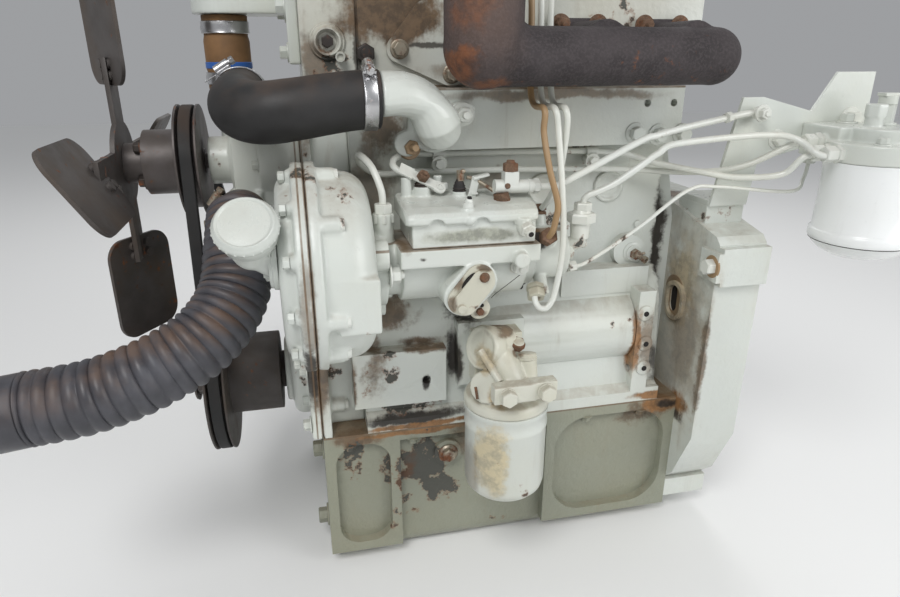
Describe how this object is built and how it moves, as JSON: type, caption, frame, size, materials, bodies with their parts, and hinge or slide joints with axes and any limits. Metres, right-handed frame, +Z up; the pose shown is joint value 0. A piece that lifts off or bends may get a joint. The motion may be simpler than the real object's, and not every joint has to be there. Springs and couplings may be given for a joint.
{
  "type": "tractor diesel engine",
  "caption": "Dressed upright diesel engine with belt-driven fan, rotary injection pump, side filters, exhaust log manifold, ribbed water hose and open flywheel housing.",
  "frame": {"origin": "on the crankshaft axis, in the rear face of the flywheel housing, at the housing's register", "axes": "+X along the crankshaft towards the flywheel end, +Y to the engine's right-hand side, +Z up"},
  "size_m": [0.955, 0.5425, 0.763],
  "materials": {
    "grey_paint": "glossy pale grey enamel, chipped and oil-stained",
    "sump_paint": "pale grey-green enamel over rough cast iron",
    "white_paint": "glossy white enamel",
    "cream_paint": "grey enamel yellowed by oil",
    "pipe_paint": "pale grey enamel on thin pipes",
    "pipe_steel": "dull zinc-plated steel with rusty unions",
    "bright_steel": "bright rolled steel",
    "dark_steel": "dark oily steel",
    "dusty_steel": "dark paint under brown dust",
    "rusty_steel": "brown surface rust",
    "manifold_iron": "rough heat-darkened cast iron",
    "bare_iron": "machined cast iron",
    "bare_aluminium": "dull die-cast aluminium",
    "black_paint": "satin black enamel",
    "brass": "painted brass, worn",
    "hose_rubber": "smooth black rubber, satin",
    "ribbed_rubber": "grey-black ribbed rubber with dust",
    "belt_rubber": "worn black rubber"
  },
  "bodies": {
    "engine": {"engine_block": "grey_paint", "sump": "sump_paint", "flywheel_housing": "grey_paint", "cylinder_head": "grey_paint", "rocker_cover": "grey_paint", "timing_case": "grey_paint", "timing_cover": "grey_paint", "water_pump": "grey_paint", "thermostat_housing": "grey_paint", "bypass_hose": "rusty_steel", "water_elbow": "grey_paint", "top_hose": "hose_rubber", "hose_clamps": "bright_steel", "bottom_hose": "ribbed_rubber", "hose_cuff": "ribbed_rubber", "side_cover": "grey_paint", "core_plugs": "grey_paint", "oil_filler": "grey_paint", "injection_pump": "grey_paint", "governor_cover": "grey_paint", "pump_levers": "dark_steel", "pump_side_plate": "rusty_steel", "injector_pipes": "pipe_steel", "injectors": "dark_steel", "fuel_pipes": "pipe_paint", "oil_pipe": "pipe_paint", "throttle_rod": "pipe_paint", "control_bracket": "grey_paint", "fuel_filter_head": "grey_paint", "fuel_filter_bowl": "white_paint", "oil_filter_head": "grey_paint", "oil_filter_can": "cream_paint", "exhaust_manifold": "manifold_iron", "exhaust_flange": "bright_steel", "inlet_manifold": "grey_paint", "lift_pump": "bare_aluminium", "dipstick": "bright_steel", "starter": "black_paint", "dynamo": "black_paint", "dynamo_bracket": "grey_paint", "fan_belt": "belt_rubber", "drain_tap": "brass", "lifting_eyes": "grey_paint", "breather": "grey_paint"},
    "crankshaft": {"crank_pulley": "dusty_steel", "flywheel": "bare_iron"},
    "fan": {"fan_pulley": "dusty_steel", "fan_blades": "dusty_steel"},
    "dynamo_shaft": {"dynamo_rotor": "black_paint"},
    "filler_cap": {"oil_cap": "grey_paint"}
  },
  "joints": [
    {"name": "crankshaft_spin", "type": "hinge", "parent": "engine", "child": "crankshaft", "pos_m": [0, 0, 0], "axis": [1, 0, 0], "continuous": true},
    {"name": "fan_spin", "type": "hinge", "parent": "engine", "child": "fan", "pos_m": [-0.628, 0, 0.275], "axis": [1, 0, 0], "continuous": true},
    {"name": "dynamo_spin", "type": "hinge", "parent": "engine", "child": "dynamo_shaft", "pos_m": [-0.628, 0.214, 0.15], "axis": [1, 0, 0], "continuous": true},
    {"name": "oil_cap_lift", "type": "slide", "parent": "engine", "child": "filler_cap", "axis": [-0.0705, -0.7053, 0.7053], "range_m": [0, 0.05]}
  ],
  "couplings": [
    {"joint": "fan_spin", "follows": "crankshaft_spin", "ratio": 1.5517},
    {"joint": "dynamo_spin", "follows": "crankshaft_spin", "ratio": 2.3684}
  ]
}
